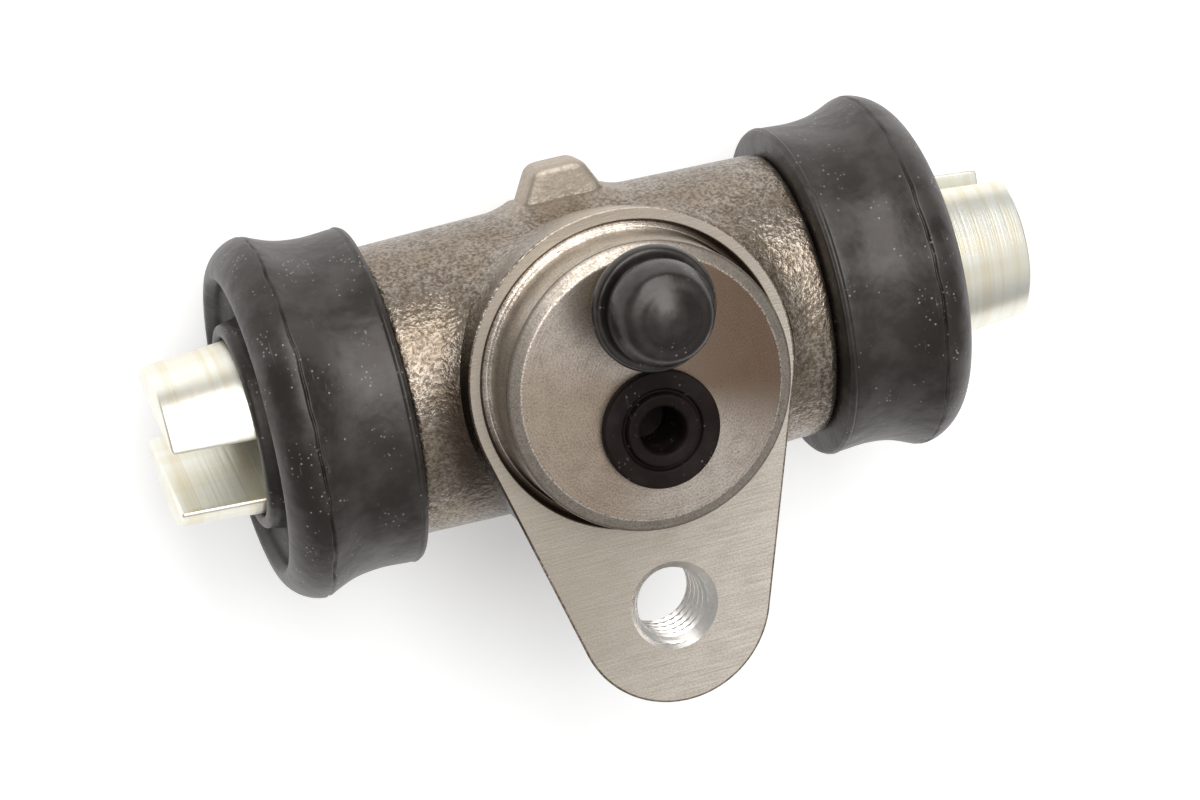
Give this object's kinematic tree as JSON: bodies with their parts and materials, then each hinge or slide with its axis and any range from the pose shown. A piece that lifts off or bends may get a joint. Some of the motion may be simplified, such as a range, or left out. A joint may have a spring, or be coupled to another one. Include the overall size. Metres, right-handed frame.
{
  "type": "wheel cylinder",
  "caption": "Drum brake wheel cylinder: cast housing with a round spigot flange and bolt tail, opposed slotted pistons in dust boots, capped bleeder screw and plugged inlet port.",
  "frame": {"origin": "centre of the spigot on the mounting face", "axes": "+Z out along the spigot, X along the bore, the bolt tail towards -Y"},
  "size_m": [0.0872, 0.0512, 0.0515],
  "materials": {
    "cast_housing": "as-cast skin with turned and milled faces",
    "plated_piston": "bright zinc plate on turned steel",
    "yellow_plate": "yellow zinc plate",
    "spring_steel": "bare drawn wire and pressed sheet",
    "boot_rubber": "moulded black rubber, dusty semi-matte",
    "seal_rubber": "moulded black rubber"
  },
  "bodies": {
    "housing": {"cylinder_body": "cast_housing", "spigot": "cast_housing", "return_spring": "spring_steel", "left_boot": "boot_rubber", "right_boot": "boot_rubber"},
    "left_seal": {"left_cup": "seal_rubber", "left_cup_expander": "spring_steel"},
    "left_piston": {"left_piston": "plated_piston"},
    "right_seal": {"right_cup": "seal_rubber", "right_cup_expander": "spring_steel"},
    "right_piston": {"right_piston": "plated_piston"},
    "bleeder": {"bleeder_screw": "yellow_plate"},
    "bleeder_cap": {"bleeder_cap": "seal_rubber"},
    "inlet_plug": {"inlet_plug": "seal_rubber"}
  },
  "joints": [
    {"name": "left_piston_travel", "type": "slide", "parent": "housing", "child": "left_seal", "axis": [-1, 0, 0], "range_m": [-0.0018, 0.0072], "deforming": ["return_spring"]},
    {"name": "left_piston_swivel", "type": "hinge", "parent": "left_seal", "child": "left_piston", "pos_m": [-0.018, 0, -0.0161], "axis": [1, 0, 0], "continuous": true},
    {"name": "right_piston_travel", "type": "slide", "parent": "housing", "child": "right_seal", "axis": [1, 0, 0], "range_m": [-0.003, 0.006], "deforming": ["return_spring"]},
    {"name": "right_piston_swivel", "type": "hinge", "parent": "right_seal", "child": "right_piston", "pos_m": [0.0192, 0, -0.0161], "axis": [1, 0, 0], "continuous": true},
    {"name": "bleeder_turn", "type": "hinge", "parent": "housing", "child": "bleeder", "pos_m": [0, 0.00873, 0.006], "axis": [0, 0, 1], "range_deg": [0, 270]},
    {"name": "bleeder_cap_pull", "type": "slide", "parent": "bleeder", "child": "bleeder_cap", "axis": [0, 0, 1], "range_m": [0, 0.014]},
    {"name": "inlet_plug_pull", "type": "slide", "parent": "housing", "child": "inlet_plug", "axis": [0, 0, 1], "range_m": [0, 0.012]}
  ]
}
